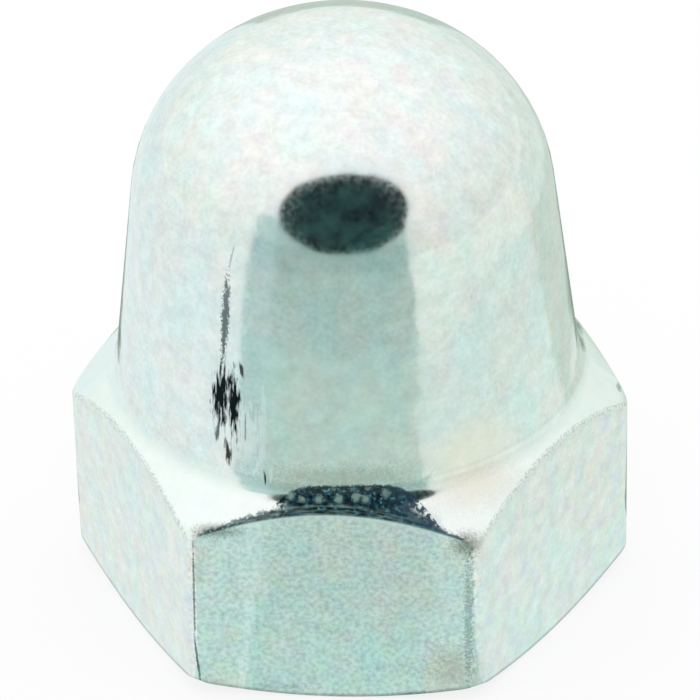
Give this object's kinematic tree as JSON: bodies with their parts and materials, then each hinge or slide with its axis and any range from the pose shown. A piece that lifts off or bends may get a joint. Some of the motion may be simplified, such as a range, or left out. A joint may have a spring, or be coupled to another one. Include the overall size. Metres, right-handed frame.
{
  "type": "cap nut",
  "caption": "Hexagon nut closed by a smooth tapered dome, with a blind tapped hole from below, to cover and hold the end of a threaded rod or screw.",
  "frame": {"origin": "centre of the bearing face, on the thread's axis", "axes": "+Z along the thread's axis, from the bearing face to the top of the dome; -Y is the outward normal of one flat and +X runs to a corner"},
  "size_m": [0.0092, 0.008, 0.01],
  "materials": {
    "zinc_plated_steel": "bright zinc plating with a clear passivation, satin, a faint blue and pink cast"
  },
  "bodies": {
    "root": {"cap_nut": "zinc_plated_steel"}
  },
  "joints": []
}
